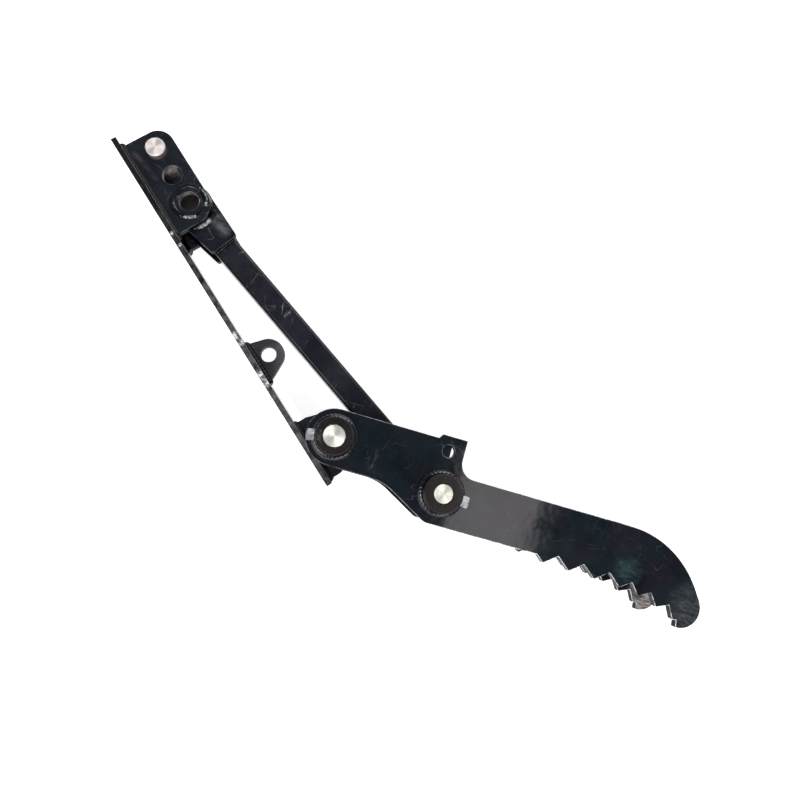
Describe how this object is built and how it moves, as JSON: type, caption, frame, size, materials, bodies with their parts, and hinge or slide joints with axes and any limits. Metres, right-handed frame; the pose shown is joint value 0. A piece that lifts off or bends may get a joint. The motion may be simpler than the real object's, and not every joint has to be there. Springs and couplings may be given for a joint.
{
  "type": "excavator thumb",
  "caption": "Weld-on mechanical excavator thumb: toothed side plates on a pivot, held by a pinned tube link to a holed bracket on a long base plate.",
  "frame": {"origin": "middle of the base plate's outer face, which is welded under the excavator's stick", "axes": "+X along the base plate from the bracket end to the thumb end, +Y from the weld face towards the linkage, +Z along the pins; the part lies on its side"},
  "size_m": [1.2588, 0.4498, 0.223],
  "materials": {
    "black_paint": "glossy black enamel over welded steel plate, worn at edges",
    "bright_pin_steel": "turned bright steel pin with faced ends",
    "bush_steel": "bored bush steel, lightly greased",
    "zinc_plated_steel": "zinc-plated bolts and nuts"
  },
  "bodies": {
    "base": {"base_plate": "black_paint", "bracket_plate_near": "black_paint", "bracket_plate_far": "black_paint", "bracket_welds": "black_paint", "pivot_ear_near": "black_paint", "pivot_ear_far": "black_paint", "ear_welds": "black_paint", "pivot_tube": "black_paint", "pivot_bush": "bush_steel", "storage_lug": "black_paint", "lug_weld": "black_paint", "adjusting_pin": "bright_pin_steel", "keeper_plate": "black_paint", "keeper_bolt": "zinc_plated_steel"},
    "thumb": {"thumb_plate_near": "black_paint", "thumb_plate_far": "black_paint", "shank_web": "black_paint", "tip_web": "black_paint", "pivot_collar_near": "black_paint", "pivot_collar_far": "black_paint", "link_collar_near": "black_paint", "link_collar_far": "black_paint", "pivot_pin": "bright_pin_steel", "link_pin": "bright_pin_steel", "pivot_lock_bolt": "zinc_plated_steel", "pivot_lock_nut": "zinc_plated_steel", "link_lock_bolt": "zinc_plated_steel", "link_lock_nut": "zinc_plated_steel"},
    "link": {"link_tube": "black_paint", "link_gusset_near": "black_paint", "link_gusset_far": "black_paint", "link_upper_eye": "black_paint", "link_upper_bush": "bush_steel", "link_lower_eye": "black_paint", "link_bush": "bush_steel"}
  },
  "joints": [
    {"name": "thumb_swing", "type": "hinge", "parent": "base", "child": "thumb", "pos_m": [0.296, 0.055, 0], "axis": [0, 0, 1], "range_deg": [0, 135.2]},
    {"name": "link_swing", "type": "hinge", "parent": "thumb", "child": "link", "pos_m": [0.47368, 0.15672, 0], "axis": [0, 0, 1], "range_deg": [-144.5, 0]}
  ],
  "couplings": [
    {"joint": "link_swing", "follows": "thumb_swing", "ratio": -1.0636}
  ]
}
